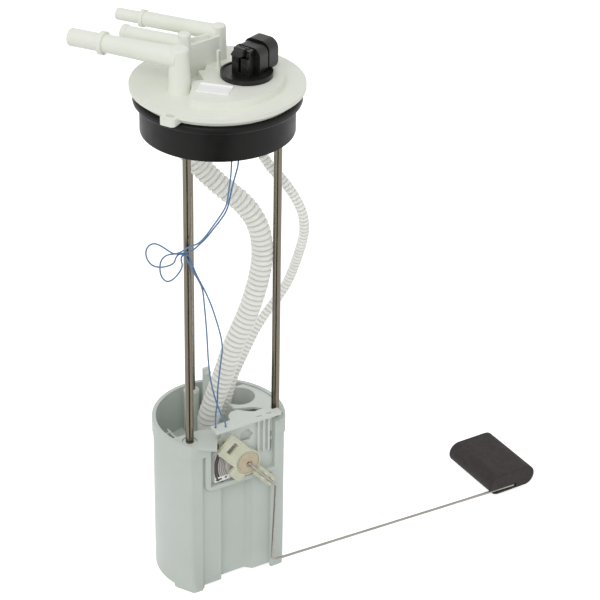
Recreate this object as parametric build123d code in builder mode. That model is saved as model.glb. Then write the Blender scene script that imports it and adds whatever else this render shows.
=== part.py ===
from build123d import *
import math
import os

os.makedirs("parts", exist_ok=True)

# Fuel pump module. Z = 0 is the tank's sealing face, +Z points out of the tank, the level sender faces -Y.

# Cover and tank seal
spigot_r = 55.5
disc_r = spigot_r + 10.0
disc_t = 3.2
neck_r = spigot_r + 4.5
neck_h = 4.6
spigot_wall = 2.8
spigot_drop = 20.0
lip_r = spigot_r + 7.6
lip_t = 6.5
seal_t = 2.6
seal_drop = 23.0
platform_r = 49.5
platform_h = 6.0

# Ports: three towers, each with a side nozzle
port_angle = 125.0
port_z = 40.5
tower_a = (-32.5, -1.1)
tower_b = (-17.3, 18.7)
tower_c = (15.2, 24.4)

# Electrical connector
conn_at = (17.2, -12.7)
conn_angle = 22.0
conn_r = 19.5
conn_flange_t = 3.0
hood_depth = 10.8
hood_half = 11.6
hood_top = 24.2
socket_w = 17.0
socket_h = 12.0
socket_deep = 15.0
blade_t = 0.8
blade_w = 3.0
latch_fit = 0.05

# Slide: guide rods, bushings and return springs
rod_angles = {"rear": 90.0, "left": 210.0, "right": 330.0}
rod_r = 3.25
rod_bore_r = 2.3
rod_socket_deep = 18.0
rod_fit = 0.05
bush_wall = 1.5
bush_h = 8.0
boss_wall = 1.7
collar_r = 3.9
collar_t = 2.0
stop_gap = 0.3
travel = 45.0
spring_r = 3.8
spring_wire = 0.7
spring_solid = 30.0

# Reservoir
drop = 418.0
foot_h = 3.0
foot_w = 10.4
foot_run = 26.0
res_h = 139.0
res_r = spigot_r - 3.1
res_wall = 2.2
res_flat = 32.0
res_corner = 5.0
rod_circle = res_r - 7.4
ledge_r = res_r - 2.4
ledge_t = 3.0
retainer_fit = 0.3
res_floor_t = 2.5
band_h = 13.0
band_t = 0.9
panel_left = -33.0
panel_right = 30.0
panel_deep = 2.3
channel_left = -15.0
channel_right = 9.0
channel_deep = 7.5

# Sender bay in the reservoir's flat face
bay_left = -25.6
bay_right = 33.0
bay_bottom = 99.0
bay_deep = 6.0
bay_wall = 2.0
frame_w = 4.6
frame_t = 0.6

# Base valve
valve_at = (28.0, -5.0)
valve_r = 10.0
valve_stem_r = 3.0

# Pump
pump_at = (-9.0, 3.0)
pump_r = 19.0
pump_wall = 1.2
pump_h = 74.0
pump_lift = 19.0
cap_h = 9.0
shaft_r = 2.0
shaft_fit = 0.05
air_gap = 0.5
magnet_t = 3.0

# Level sender
pivot_x = 6.1
pivot_up = 15.0
pivot_fit = 0.05
arm_r = 1.1
rotor_gap = 1.0
rotor_t = 2.4
rotor_rest = 131.0
rotor_len = 31.2
rotor_half = 9.7
hub_r = 11.5
button_r = 8.8
button_t = 1.5
tail_len = 34.3
tail_half = 4.4
float_w = 47.0
float_t = 19.0
float_len = 62.0
float_x = 266.0
float_up = 12.5
arm_dip = 5.7

# Hoses and sender wires: outside diameters, and the points that their centre lines turn at
supply_d = 17.0
return_d = 8.0
wire_d = 1.25
wire_clear = 0.4
supply_points = [
    (-8.8, 15.0, -27.5), (-2.0, 8.1, -66.6), (14.6, -6.1, -100.8), (25.1, -15.6, -138.6),
    (21.0, -12.7, -178.7), (12.3, -5.0, -217.7), (1.7, 0.3, -256.6), (-8.6, 3.0, -295.8),
]
return_points = [
    (24.2, -1.0, -20.5), (33.1, -6.5, -53.4), (54.1, -16.7, -79.6), (66.9, -21.8, -111.5), (67.4, -4.0, -155.8),
    (62.6, 4.0, -181.0), (43.0, 9.5, -207.3), (30.1, 12.5, -233.8), (15.4, 14.2, -260.2), (4.7, 15.0, -280.1),
    (2.0, 16.5, -296.0),
]
wire_a_points = [
    (-6.3, -31.4, -17.0), (-6.3, -31.4, -37.2), (-10.2, -33.7, -57.5), (-17.0, -36.6, -75.2), (-30.6, -35.1, -87.3),
    (-40.5, -31.3, -97.4), (-47.9, -27.9, -100.4), (-59.0, -22.1, -95.0), (-67.8, -16.6, -96.9),
    (-69.8, -15.4, -105.4), (-65.6, -18.1, -115.2), (-56.2, -24.1, -111.3), (-47.8, -27.5, -106.0),
    (-40.7, -30.0, -111.5), (-35.9, -31.8, -127.4), (-29.5, -32.3, -156.7), (-26.7, -31.7, -182.5),
    (-25.8, -30.9, -206.1), (-22.9, -30.9, -230.0), (-17.6, -31.3, -246.2), (-11.6, -31.0, -258.0),
    (-11.6, -31.0, -269.5),
]
wire_b_points = [
    (-0.5, -31.5, -17.0), (-0.5, -31.5, -37.0), (-5.6, -33.1, -59.0), (-13.0, -35.5, -77.6), (-27.8, -34.5, -92.6),
    (-38.3, -30.3, -101.8), (-45.2, -24.4, -107.1), (-53.7, -21.3, -113.0), (-59.7, -18.1, -119.6),
    (-60.5, -17.6, -126.5), (-56.1, -20.4, -129.8), (-49.6, -22.7, -126.3), (-45.2, -24.1, -118.2),
    (-41.2, -26.4, -109.3), (-36.9, -29.3, -109.5), (-32.8, -30.8, -124.4), (-25.9, -32.2, -147.3),
    (-18.6, -34.0, -172.9), (-16.5, -33.2, -194.8), (-17.7, -30.4, -217.1), (-18.5, -28.4, -237.7),
    (-18.9, -28.3, -254.7), (-18.9, -28.3, -269.5),
]

# Levels that follow from the sizes above
disc_under = lip_t + neck_h
disc_top = disc_under + disc_t
platform_top = disc_top + platform_h
foot_z = -drop
res_z = foot_z + foot_h
rim_z = res_z + res_h
floor_z = res_z + res_floor_t
bay_z = foot_z + bay_bottom
bay_top = rim_z + 9.0
bay_back = res_flat - bay_deep
pivot_z = bay_z + pivot_up
bar_z = bay_top - 2.5
housing_h = bar_z - bay_z - 18.5
float_z = foot_z + float_up
pump_z = floor_z + pump_lift
pump_top = pump_z + pump_h
bush_r = rod_r + rod_fit + bush_wall
socket_r = rod_r + rod_fit + 1.0
bush_top = rim_z - 2.0
bush_low = bush_top - bush_h
collar_top = bush_low - stop_gap
rod_end = collar_top - collar_t
spring_low = rod_end - travel - spring_solid
rods = {
    side: (rod_circle * math.cos(math.radians(a)), rod_circle * math.sin(math.radians(a)))
    for side, a in rod_angles.items()
}


def direction(a, b):
    return (Vector(*b) - Vector(*a)).normalized()


def corner_radii(points):
    radii = []
    for a, b, c in zip(points, points[1:], points[2:]):
        before, after = Vector(*b) - Vector(*a), Vector(*c) - Vector(*b)
        turn = math.radians(before.get_angle(after))
        radii.append(0.45 * min(before.length, after.length) / math.tan(turn / 2))
    return radii


# Tank seal: an L-shaped rubber ring, its lip on the tank and its skirt in the tank's opening
with BuildPart() as tank_seal:
    with BuildSketch(Plane.XZ):
        with BuildLine():
            Polyline(
                (spigot_r, -seal_drop), (spigot_r + seal_t, -seal_drop), (spigot_r + seal_t, 0), (lip_r, 0),
                (lip_r, lip_t), (spigot_r, lip_t), close=True,
            )
        make_face()
    revolve(axis=Axis.Z)
    outer = tank_seal.edges().filter_by(GeomType.CIRCLE).filter_by(lambda e: e.radius > lip_r - 0.1)
    fillet(outer.sort_by(Axis.Z)[-1], 3.0)
    outer = tank_seal.edges().filter_by(GeomType.CIRCLE).filter_by(lambda e: e.radius > lip_r - 0.1)
    fillet(outer.sort_by(Axis.Z)[0], 2.2)
tank_seal.part.label = "tank_seal"

# Cover: disc, spigot, platform, towers, nozzles, pin, lifting tab and what hangs below it, in one moulding
port_dir = Vector(math.cos(math.radians(port_angle)), math.sin(math.radians(port_angle)), 0)
nozzles = {
    tower_a: [(0, 8.2), (20, 7.6), (56.8, 6.9), (60.1, 6.9), (60.1, 8.9), (63.6, 8.9), (63.6, 6.8), (88.1, 6.8), (89.1, 6.2)],
    tower_b: [(0, 5.9), (22, 5.7), (45.9, 5.7), (46.9, 6.6), (49.9, 6.6), (50.9, 5.4)],
    tower_c: [(0, 6.2), (30, 5.8), (61.1, 5.8), (61.1, 6.8), (64.3, 6.8), (64.3, 4.7), (83.8, 4.7), (84.6, 4.2)],
}
nozzle_bores = {tower_a: 4.6, tower_b: 3.4, tower_c: 3.0}
towers = {tower_a: (8.6, 6.9, 48.5), tower_b: (6.0, 4.8, 49.5), tower_c: (6.0, 5.2, 47.5)}
supply_down = direction(supply_points[0], supply_points[1])
return_down = direction(return_points[0], return_points[1])
gland_x = (wire_a_points[0][0] + wire_b_points[0][0]) / 2
gland_y = (wire_a_points[0][1] + wire_b_points[0][1]) / 2
gland_z = wire_a_points[0][2]
tab_angle = -150.5
box_top = 40.0

with BuildPart() as flange_cover:
    with BuildSketch(Plane.XY.offset(disc_under)):
        Circle(disc_r)
    extrude(amount=disc_t)
    with BuildSketch(Plane.XY.offset(lip_t)):
        Circle(neck_r)
        Circle(spigot_r - spigot_wall, mode=Mode.SUBTRACT)
    extrude(amount=neck_h)
    with BuildSketch(Plane.XY.offset(-spigot_drop)):
        Circle(spigot_r)
        Circle(spigot_r - spigot_wall, mode=Mode.SUBTRACT)
    extrude(amount=spigot_drop + disc_under)
    # raised platform under the connector
    with BuildSketch(Plane.XY.offset(disc_top)) as platform:
        Circle(platform_r)
        with BuildLine():
            Polyline(
                (-57.5, -53), (-21.9, -1.6), (-18.4, -2.8), (-14.1, -4.0), (-10.1, 12.0), (-5.0, 11.1), (0.9, 18.1),
                (9.2, 23.7), (22, 25), (70, 24), (70, 90), (-70, 90), (-70, -53), close=True,
            )
        make_face(mode=Mode.SUBTRACT)
        fillet(platform.vertices().filter_by(lambda v: math.hypot(v.X, v.Y) > platform_r - 1), 4.0)
    extrude(amount=platform_h, taper=3)
    # towers and the wall between the rear two
    for (x, y), (low, high, top) in towers.items():
        with Locations((x, y, disc_top)):
            Cone(low, high, top - disc_top, align=(Align.CENTER, Align.CENTER, Align.MIN))
        fillet(flange_cover.faces().sort_by_distance((x, y, top))[0].edges(), 2.0)
    half = math.hypot(tower_c[0] - tower_b[0], tower_c[1] - tower_b[1]) / 2
    wall = Plane(
        origin=((tower_b[0] + tower_c[0]) / 2, (tower_b[1] + tower_c[1]) / 2, disc_top),
        x_dir=(tower_c[0] - tower_b[0], tower_c[1] - tower_b[1], 0), z_dir=(0, 0, 1),
    )
    with BuildSketch(wall):
        with BuildLine():
            Polyline((-half, -4.5), (half, -4.5), (half, 4.0), (-half, 9.0), close=True)
        make_face()
    extrude(amount=box_top - disc_top)
    with BuildSketch(wall.offset(box_top - disc_top)):
        with BuildLine():
            Polyline((7 - half, -2.9), (half - 7, -2.9), (half - 7, 2.9), (7 - half, 6.0), close=True)
        make_face()
    extrude(amount=-3.0, mode=Mode.SUBTRACT)
    # nozzles, turned about their own lines
    for tower, profile in nozzles.items():
        side = Plane(origin=(*tower, port_z), x_dir=port_dir, z_dir=port_dir.cross(Vector(0, 0, 1)))
        with BuildSketch(side):
            with BuildLine():
                Polyline((0, 0), *profile, (profile[-1][0], 0), close=True)
            make_face()
        revolve(axis=Axis((*tower, port_z), port_dir))
    for tower, bore in nozzle_bores.items():
        run = nozzles[tower][-1][0]
        with BuildSketch(Plane(origin=Vector(*tower, port_z) + port_dir * run, z_dir=port_dir)):
            Circle(bore)
        extrude(amount=-run, mode=Mode.SUBTRACT)
        with BuildSketch(Plane.XY.offset(port_z)):
            with Locations(tower):
                Circle(bore * 0.9)
        extrude(amount=-(port_z - disc_under), mode=Mode.SUBTRACT)
    # gusset behind the front tower
    with BuildSketch(Plane.XY.offset(disc_top)):
        with Locations(Location(((tower_a[0] + tower_b[0]) / 2, (tower_a[1] + tower_b[1]) / 2), 52.5)):
            Rectangle(14, 2.4)
    extrude(amount=12)
    # upright pin
    with BuildSketch(Plane.XY.offset(platform_top)):
        with Locations((5.9, 9.0)):
            Circle(1.4)
    extrude(amount=14)
    with Locations((5.9, 9.0, platform_top)):
        Cone(2.4, 1.4, 3.5, align=(Align.CENTER, Align.CENTER, Align.MIN))
    # lifting tab at the edge
    with BuildSketch(Plane.XY.offset(lip_t + 0.8).rotated((0, 0, tab_angle))) as tab:
        with Locations((disc_r, 0)):
            RectangleRounded(13, 12.5, 3)
        with Locations((disc_r - 0.6, 0)):
            RectangleRounded(4.6, 7, 1.2, mode=Mode.SUBTRACT)
    extrude(amount=disc_top - lip_t - 0.8 - 1.4)
    # rod sockets, hose barbs and wire gland under the disc
    for x, y in rods.values():
        with BuildSketch(Plane.XY.offset(disc_under)):
            with Locations((x, y)):
                Circle(rod_r + 2.6)
        extrude(amount=-(rod_socket_deep + 3))
        with BuildSketch(Plane.XY.offset(disc_under - rod_socket_deep - 3)):
            with Locations((x, y)):
                Circle(rod_r)
        extrude(amount=rod_socket_deep, mode=Mode.SUBTRACT)
    for start, down, r in (
        (supply_points[0], supply_down, supply_d / 2), (return_points[0], return_down, return_d / 2),
    ):
        reach = (disc_under + disc_t / 2 - start[2]) / -down.Z
        with BuildSketch(Plane(origin=start, z_dir=down * -1)):
            Circle(r * 0.7)
        extrude(amount=reach)
        with BuildSketch(Plane(origin=start, z_dir=down * -1)):
            Circle(r)
        extrude(amount=2.5)
    with BuildSketch(Plane.XY.offset(disc_under)):
        with Locations((gland_x, gland_y)):
            RectangleRounded(12, 5, 2)
    extrude(amount=gland_z - disc_under)
flange_cover.part.label = "flange_cover"

# Electrical connector: round flange and three arched blocks in a row, with a socket behind
conn = Plane(
    origin=(*conn_at, platform_top),
    x_dir=(math.cos(math.radians(conn_angle)), math.sin(math.radians(conn_angle)), 0), z_dir=(0, 0, 1),
)


def across(along, up=0.0):
    return Plane(origin=conn.from_local_coords(Vector(along, 0, up)), x_dir=conn.y_dir, z_dir=conn.x_dir)


block_front = -8.4
block_back = 0.4
post_half = 7.2
slit_w = 2.2
middle_back = 12.2
latch_pin = (-3.6, 19.6)
latch_pin_r = 1.1

with BuildPart() as electrical_connector:
    with BuildSketch(conn):
        Circle(conn_r)
    extrude(amount=conn_flange_t)
    with BuildSketch(conn.offset(conn_flange_t)):
        Circle(conn_r)
        Circle(conn_r - 1.5, mode=Mode.SUBTRACT)
    extrude(amount=0.8)
    with BuildSketch(across(block_front)) as block:
        with Locations((0, 16.6 / 2)):
            Rectangle(2 * post_half, 16.6)
    extrude(amount=block_back - block_front)
    # two ears carry the latch's pin over a slit between the front posts
    with BuildSketch(across(latch_pin[0] - 2.6)):
        with Locations((-post_half + 1.5, 19.0), (post_half - 1.5, 19.0)):
            Rectangle(3.0, 7.0)
    extrude(amount=5.2)
    with BuildSketch(across(block_front)):
        with Locations((0, 11.3)):
            Rectangle(slit_w, 12.8)
    extrude(amount=4.0, mode=Mode.SUBTRACT)
    with BuildSketch(across(block_front)):
        for up in (12.8, 14.6, 16.4):
            for side in (-1, 1):
                with Locations((side * (post_half + slit_w / 2) / 2, up)):
                    Rectangle(post_half - slit_w / 2 - 1.0, 0.7)
    extrude(amount=-0.5)
    with BuildSketch(across(block_back)) as arch:
        with Locations((0, 22.3 / 2)):
            Rectangle(22.4, 22.3)
        fillet(arch.vertices().group_by(Axis.Z)[-1], 6.0)
    extrude(amount=middle_back - block_back)
    with BuildSketch(across(block_back)):
        offset(arch.sketch_local, 0.7)
        with Locations((0, -5)):
            Rectangle(30, 10, mode=Mode.SUBTRACT)
    extrude(amount=1.2)
    with BuildSketch(across(middle_back - 1.0)):
        with Locations((0, 15 + conn_flange_t + 0.8)):
            Rectangle(40, 30)
        offset(arch.sketch_local, -1.0, mode=Mode.SUBTRACT)
    extrude(amount=1.0, mode=Mode.SUBTRACT)
    with BuildSketch(across(middle_back)) as hood:
        with Locations((0, hood_top / 2)):
            Rectangle(2 * hood_half, hood_top)
        fillet(hood.vertices().group_by(Axis.Z)[-1], 7.5)
    extrude(amount=hood_depth)
    with BuildSketch(across(middle_back + hood_depth)):
        with Locations((0, conn_flange_t + 2.6 + socket_h / 2)):
            RectangleRounded(socket_w, socket_h, 2.5)
    extrude(amount=-socket_deep, mode=Mode.SUBTRACT)
    with BuildSketch(Plane(origin=conn.from_local_coords(Vector(latch_pin[0], 0, latch_pin[1])), z_dir=conn.y_dir)):
        Circle(latch_pin_r + latch_fit)
    extrude(amount=post_half + 1, both=True, mode=Mode.SUBTRACT)
electrical_connector.part.label = "electrical_connector"

# Latch: a rocking lever on its own cross pin, thumb pad to the front and hook over the middle block
with BuildPart() as connector_latch:
    with BuildSketch(
        Plane(origin=conn.from_local_coords(Vector(0, 0, 0)), x_dir=conn.x_dir, z_dir=conn.y_dir * -1)
    ):
        with BuildLine():
            Polyline(
                (-14.2, 19.8), (-13.8, 21.0), (-11.2, 22.6), (-7.6, 24.0), (-5.6, 23.8), (-4.6, 22.4), (-3.4, 22.0),
                (-2.6, 23.0), (-1.2, 23.0), (-0.2, 21.6), (-0.2, 18.6), (-1.8, 18.0), (-5.4, 18.0), (-8.6, 19.0),
                close=True,
            )
        make_face()
    extrude(amount=post_half - 3.4, both=True)
    with BuildSketch(Plane(origin=conn.from_local_coords(Vector(latch_pin[0], 0, latch_pin[1])), z_dir=conn.y_dir)):
        Circle(latch_pin_r)
    extrude(amount=post_half - 0.4, both=True)
connector_latch.part.label = "connector_latch"

# Four blade terminals side by side in the socket
with BuildPart() as connector_terminals:
    with BuildSketch(across(middle_back + hood_depth - socket_deep)):
        with GridLocations(4.1, 1, 4, 1):
            with Locations((0, conn_flange_t + 2.6 + socket_h * 0.36)):
                Rectangle(blade_w, blade_t)
    extrude(amount=socket_deep - 3.5)
connector_terminals.part.label = "connector_terminals"

# Guide rods: tubes pressed into the cover, each with a stop collar at its lower end
guide_rods = {}
for side, (x, y) in rods.items():
    rod_top = disc_under - 3
    with BuildPart() as guide_rod:
        with BuildSketch(Plane.XY.offset(rod_end)):
            with Locations((x, y)):
                Circle(rod_r)
                Circle(rod_bore_r, mode=Mode.SUBTRACT)
        extrude(amount=rod_top - rod_end)
        with BuildSketch(Plane.XY.offset(rod_end)):
            with Locations((x, y)):
                Circle(collar_r)
                Circle(rod_bore_r, mode=Mode.SUBTRACT)
        extrude(amount=collar_t)
    guide_rod.part.label = f"guide_rod_{side}"
    guide_rods[side] = guide_rod

# Guide bushings at the mouths of the reservoir's sockets
bushings = {}
for side, (x, y) in rods.items():
    with BuildPart() as bushing:
        with BuildSketch(Plane.XY.offset(bush_low)):
            with Locations((x, y)):
                Circle(bush_r)
                Circle(rod_r + rod_fit, mode=Mode.SUBTRACT)
        extrude(amount=bush_h)
        with BuildSketch(Plane.XY.offset(bush_top)):
            with Locations((x, y)):
                Circle(bush_r + 0.8)
                Circle(rod_r + rod_fit, mode=Mode.SUBTRACT)
        extrude(amount=1.2)
    bushing.part.label = f"guide_bushing_{side}"
    bushings[side] = bushing

# Return springs below the rods, each the outer sleeve of its coil
springs = {}
for side, (x, y) in rods.items():
    with BuildPart() as spring:
        with BuildSketch(Plane.XY.offset(spring_low)):
            with Locations((x, y)):
                Circle(spring_r)
                Circle(spring_r - spring_wire, mode=Mode.SUBTRACT)
        extrude(amount=rod_end - spring_low)
    spring.part.label = f"return_spring_{side}"
    springs[side] = spring

# Reservoir: an open cup with a flat front, a channel and a bay in that front, rod sockets and feet
with BuildSketch() as plain_outline:
    Circle(res_r)
    with Locations((0, -res_flat - res_r)):
        Rectangle(4 * res_r, 2 * res_r, mode=Mode.SUBTRACT)
    fillet(plain_outline.vertices(), res_corner)
with BuildSketch() as outline:
    add(plain_outline.sketch)
    with BuildLine():
        Polyline(
            (panel_left, -res_flat - 5), (panel_left, panel_deep - res_flat), (channel_left, panel_deep - res_flat),
            (channel_left, channel_deep - res_flat), (channel_right, channel_deep - res_flat),
            (channel_right + 5.6, panel_deep - res_flat), (panel_right, panel_deep - res_flat),
            (panel_right, -res_flat - 5), close=True,
        )
    make_face(mode=Mode.SUBTRACT)
with BuildSketch() as inner_outline:
    offset(outline.sketch, -res_wall)
with BuildSketch() as band_outline:
    offset(plain_outline.sketch, band_t)

# the room that the retainer may fill: inside the walls and clear of the rods' sockets
with BuildSketch() as room:
    offset(inner_outline.sketch, -retainer_fit)
    for x, y in rods.values():
        with Locations((x, y)):
            Circle(bush_r + boss_wall + retainer_fit, mode=Mode.SUBTRACT)

# the bead round the sender bay's mouth
bay_x = (bay_left + bay_right) / 2
bead_top = rim_z - band_h + 6
with BuildPart() as bay_bead:
    with BuildSketch(Plane.XZ.offset(res_flat - 4)):
        with Locations((bay_x, (bay_z - frame_w + bead_top) / 2)):
            RectangleRounded(bay_right - bay_left + 2 * frame_w, bead_top - bay_z + frame_w, 6)
    extrude(amount=4 + frame_t)
    fillet(bay_bead.edges().group_by(Axis.Y)[0], 1.6)

with BuildPart() as reservoir_body:
    with BuildSketch(Plane.XY.offset(res_z)):
        add(outline.sketch)
    extrude(amount=res_h)
    with BuildSketch(Plane.XY.offset(rim_z - band_h)):
        add(band_outline.sketch)
    extrude(amount=band_h)
    with BuildSketch(Plane.XY.offset(floor_z)):
        add(inner_outline.sketch)
    extrude(amount=res_h, mode=Mode.SUBTRACT)
    # bay for the level sender
    with BuildSketch(Plane.XY.offset(bay_z - bay_wall)):
        with Locations((bay_x, -(res_flat + bay_back - bay_wall) / 2)):
            Rectangle(bay_right - bay_left + 2 * bay_wall, bay_deep + bay_wall)
    extrude(amount=rim_z - bay_z + bay_wall)
    add(bay_bead.part)
    with BuildSketch(Plane.XY.offset(bay_z)):
        with Locations((bay_x, -bay_back - bay_deep)):
            Rectangle(bay_right - bay_left, 2 * bay_deep)
    extrude(amount=res_h, mode=Mode.SUBTRACT)
    # ledges at the rim round the front rods
    with BuildSketch(Plane.XY.offset(rim_z)) as ledges:
        with BuildLine():
            Polyline(
                (-26.6, -12.9), (-19, -15), (-14, -22.2), (-27.5, -45.9), (-50, -40), (-60, -13.1), close=True,
            )
        make_face()
        fillet(ledges.vertices().group_by(Axis.X)[-3:], 2.0)
        with BuildLine():
            Polyline((33.8, -13.1), (33.8, -31.5), (36.5, -34.5), (60, -34.5), (60, -13.1), close=True)
        make_face()
        Circle(ledge_r, mode=Mode.INTERSECT)
    extrude(amount=-ledge_t)
    # rod sockets
    for x, y in rods.values():
        with BuildSketch(Plane.XY.offset(spring_low - 3)):
            with Locations((x, y)):
                Circle(bush_r + boss_wall)
        extrude(amount=bush_top - spring_low + 3)
        with BuildSketch(Plane.XY.offset(spring_low)):
            with Locations((x, y)):
                Circle(socket_r)
        extrude(amount=bush_top - spring_low + 10, mode=Mode.SUBTRACT)
        with BuildSketch(Plane.XY.offset(bush_low)):
            with Locations((x, y)):
                Circle(bush_r)
        extrude(amount=bush_h + 10, mode=Mode.SUBTRACT)
        with BuildSketch(Plane.XY.offset(bush_top)):
            with Locations((x, y)):
                Circle(bush_r + 1.2)
        extrude(amount=20, mode=Mode.SUBTRACT)
    # feet
    with BuildSketch(Plane.XY.offset(foot_z)):
        with PolarLocations(res_r - foot_w / 2 - 0.6, 3, 90):
            RectangleRounded(foot_w, foot_run, 3)
        add(outline.sketch, mode=Mode.INTERSECT)
    extrude(amount=foot_h)
    # base valve seat
    with BuildSketch(Plane.XY.offset(res_z)):
        with Locations(valve_at):
            Circle(valve_stem_r)
            with PolarLocations(valve_r - 3, 6):
                Circle(1.6)
    extrude(amount=res_floor_t, mode=Mode.SUBTRACT)
reservoir_body.part.label = "reservoir_body"

# Base valve: a rubber umbrella whose stem snaps through the floor
with BuildPart() as base_valve:
    with Locations((*valve_at, res_z)):
        Cylinder(valve_stem_r, res_floor_t, align=(Align.CENTER, Align.CENTER, Align.MIN))
    with Locations((*valve_at, floor_z)):
        Cone(valve_r, valve_r - 2, 1.4, align=(Align.CENTER, Align.CENTER, Align.MIN))
base_valve.part.label = "base_valve"

pump_end = Vector(*supply_points[-1])
supply_up = direction(supply_points[-1], supply_points[-2])
return_up = direction(return_points[-1], return_points[-2])
deck_z = pump_top + 2.0
deck_t = 2.5
pocket_at = (res_r * 0.534, res_r * 0.305)
pocket_r = 13.0

# Retainer deck: holds the pump's top, the return barb and a round pocket, and stands on the sockets
with BuildPart() as pump_retainer:
    with BuildSketch(Plane.XY.offset(deck_z)) as deck:
        add(room.sketch)
        with Locations((0, -bay_back - 10)):
            Rectangle(4 * res_r, 2 * (12.3 + bay_wall), mode=Mode.SUBTRACT)
    extrude(amount=deck_t)
    with BuildSketch(Plane.XY.offset(deck_z + deck_t)):
        with Locations(pocket_at):
            Circle(pocket_r + 1.6)
            Circle(pocket_r, mode=Mode.SUBTRACT)
        add(room.sketch, mode=Mode.INTERSECT)
    extrude(amount=rim_z - 1 - deck_z - deck_t)
    with BuildSketch(Plane.XY.offset(rim_z - 3)) as web:
        with BuildLine():
            Polyline((15, 2), (30, -4), (37, -11.5), (60, -11.5), (60, 30), (15, 30), close=True)
        make_face()
        add(room.sketch, mode=Mode.INTERSECT)
        with Locations(pocket_at):
            Circle(pocket_r, mode=Mode.SUBTRACT)
    extrude(amount=2)
    with BuildSketch(Plane.XY.offset(deck_z + deck_t)):
        with Locations((-31, 8)):
            Rectangle(2, 42)
        with Locations((-36.9, 24)):
            Rectangle(11.8, 2)
        add(room.sketch, mode=Mode.INTERSECT)
    extrude(amount=18)
    with BuildSketch(Plane.XY.offset(deck_z + deck_t)):
        with Locations((10.5, res_r - 13.4)):
            RectangleRounded(6, 3, 1)
    extrude(amount=rim_z + 19 - deck_z - deck_t)
    with BuildSketch(Plane.XY.offset(rim_z + 15)):
        with Locations((10.5, res_r - 15.9)):
            Rectangle(6, 3)
    extrude(amount=3, taper=20)
    with BuildSketch(Plane(origin=return_points[-1], z_dir=return_up * -1)):
        Circle(return_d * 0.35)
    extrude(amount=(return_points[-1][2] - deck_z) / return_up.Z)
    with BuildSketch(Plane(origin=return_points[-1], z_dir=return_up * -1)):
        Circle(return_d / 2)
    extrude(amount=2)
    with BuildSketch(Plane.XY.offset(deck_z - 10)):
        with Locations(pump_at):
            Circle(pump_r + 5)
        add(room.sketch, mode=Mode.INTERSECT)
    extrude(amount=10)
    with BuildSketch(Plane.XY.offset(deck_z - 10)):
        with Locations(pump_at):
            Circle(pump_r + 2.5)
    extrude(amount=10, mode=Mode.SUBTRACT)
    with BuildSketch(Plane.XY.offset(deck_z)):
        with Locations(pump_at):
            Circle(13)
    extrude(amount=deck_t, mode=Mode.SUBTRACT)
pump_retainer.part.label = "pump_retainer"

# Pump: steel shell, two end caps, magnets and the spinning armature with its impeller
with BuildPart() as pump_shell:
    with BuildSketch(Plane.XY.offset(pump_z)):
        with Locations(pump_at):
            Circle(pump_r)
            Circle(pump_r - pump_wall, mode=Mode.SUBTRACT)
    extrude(amount=pump_h)
pump_shell.part.label = "pump_shell"

impeller_r = pump_r - pump_wall - 2.0
impeller_h = 4.0
impeller_z = pump_z + cap_h
inner_low = impeller_z + impeller_h + 2 * air_gap
inner_high = pump_top - cap_h

with BuildPart() as pump_inlet_cap:
    with BuildSketch(Plane.XY.offset(pump_z - 2)):
        with Locations(pump_at):
            Circle(pump_r - pump_wall)
    extrude(amount=cap_h + 2)
    with BuildSketch(Plane.XY.offset(impeller_z)):
        with Locations(pump_at):
            Circle(pump_r - pump_wall)
            Circle(impeller_r + air_gap, mode=Mode.SUBTRACT)
    extrude(amount=inner_low - impeller_z)
    with BuildSketch(Plane.XY.offset(pump_z - 8)):
        with Locations((pump_at[0] + 9, pump_at[1])):
            Circle(5.5)
    extrude(amount=6)
    with BuildSketch(Plane.XY.offset(pump_z - 8)):
        with Locations((pump_at[0] + 9, pump_at[1])):
            Circle(3.5)
    extrude(amount=cap_h + 8, mode=Mode.SUBTRACT)
    with BuildSketch(Plane.XY.offset(impeller_z - 5)):
        with Locations(pump_at):
            Circle(shaft_r + shaft_fit)
    extrude(amount=5, mode=Mode.SUBTRACT)
pump_inlet_cap.part.label = "pump_inlet_cap"

spout_top = Vector(*supply_points[-1])
with BuildPart() as pump_outlet_cap:
    with BuildSketch(Plane.XY.offset(inner_high)):
        with Locations(pump_at):
            Circle(pump_r - pump_wall)
    extrude(amount=cap_h)
    with BuildSketch(Plane.XY.offset(pump_top)):
        with Locations(pump_at):
            Circle(11)
    extrude(amount=6)
    with BuildSketch(Plane(origin=spout_top, z_dir=supply_up * -1)):
        Circle(supply_d * 0.36)
    extrude(amount=(spout_top.Z - pump_top - 3) / supply_up.Z)
    with BuildSketch(Plane(origin=spout_top, z_dir=supply_up * -1)):
        Circle(supply_d / 2)
    extrude(amount=2.5)
    with BuildSketch(Plane.XY.offset(inner_high)):
        with Locations(pump_at):
            Circle(shaft_r + shaft_fit)
    extrude(amount=5, mode=Mode.SUBTRACT)
pump_outlet_cap.part.label = "pump_outlet_cap"

with BuildPart() as pump_magnets:
    with BuildSketch(Plane.XY.offset(inner_low + 4)):
        with Locations(pump_at):
            Circle(pump_r - pump_wall)
            Circle(pump_r - pump_wall - magnet_t, mode=Mode.SUBTRACT)
            Rectangle(6, 2 * pump_r, mode=Mode.SUBTRACT)
    extrude(amount=inner_high - inner_low - 14)
pump_magnets.part.label = "pump_magnets"

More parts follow.
